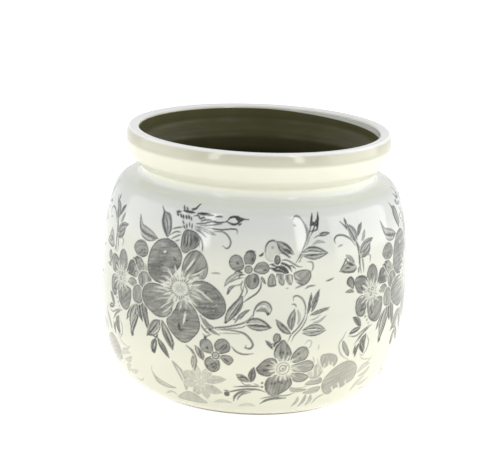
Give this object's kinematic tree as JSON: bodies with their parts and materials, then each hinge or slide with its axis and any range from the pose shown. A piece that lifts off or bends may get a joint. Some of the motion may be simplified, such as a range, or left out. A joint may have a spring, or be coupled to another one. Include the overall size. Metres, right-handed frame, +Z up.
{
  "type": "cachepot",
  "caption": "Round glazed earthenware cachepot with a rolled rim band, a narrow neck, a full belly with a grey floral transfer print, an olive inside and a bare foot ring.",
  "frame": {"origin": "centre of the foot ring's underside", "axes": "+Z up along the pot's axis, -Y towards the middle of the first floral transfer"},
  "size_m": [0.1602, 0.1602, 0.1372],
  "materials": {
    "earthenware": "matt bisque",
    "ivory_glaze": "gloss",
    "olive_glaze": "gloss",
    "transfer_ink": "gloss"
  },
  "bodies": {
    "root": {"pot_body": "earthenware", "ivory_glaze": "ivory_glaze", "olive_glaze": "olive_glaze", "base_glaze": "ivory_glaze", "floral_transfer_1": "transfer_ink", "floral_transfer_2": "transfer_ink", "floral_transfer_3": "transfer_ink", "floral_transfer_4": "transfer_ink"}
  },
  "joints": []
}
